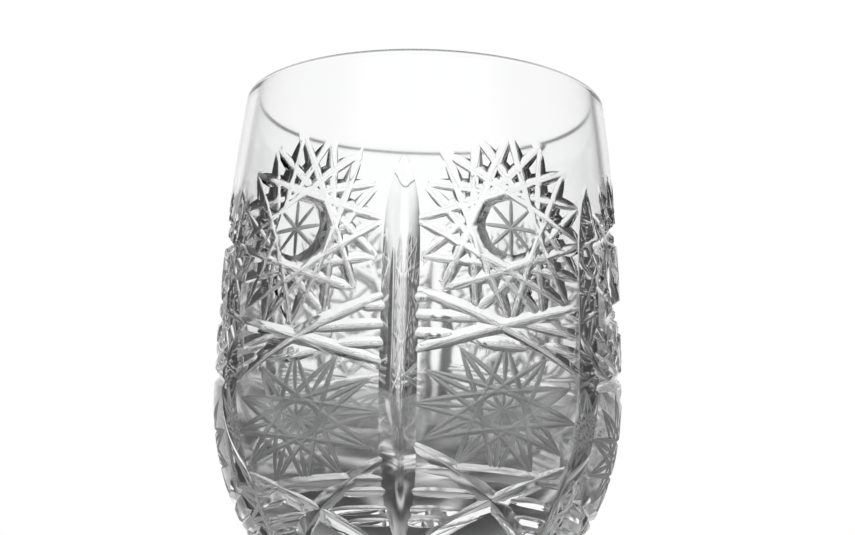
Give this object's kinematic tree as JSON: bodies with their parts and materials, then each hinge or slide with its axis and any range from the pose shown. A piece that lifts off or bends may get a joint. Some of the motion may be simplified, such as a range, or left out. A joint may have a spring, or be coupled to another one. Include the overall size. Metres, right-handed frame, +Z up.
{
  "type": "stemmed vodka glass",
  "caption": "Small stemmed drinking glass in clear cut crystal, with a barrel-shaped bowl, a faceted stem and a round foot.",
  "frame": {"origin": "middle of the foot's underside, on the table", "axes": "+Z up along the glass's axis of turning, -Y towards the upright mitre that faces the viewer"},
  "size_m": [0.057, 0.057, 0.134],
  "materials": {
    "bowl_crystal": "clear, ground and polished lip, wheel-cut and polished mitres, matte star",
    "stem_crystal": "clear, ground and polished facets",
    "foot_crystal": "clear, fire-polished edge, star cut underneath"
  },
  "bodies": {
    "root": {"bowl": "bowl_crystal", "stem": "stem_crystal", "foot": "foot_crystal"}
  },
  "joints": []
}
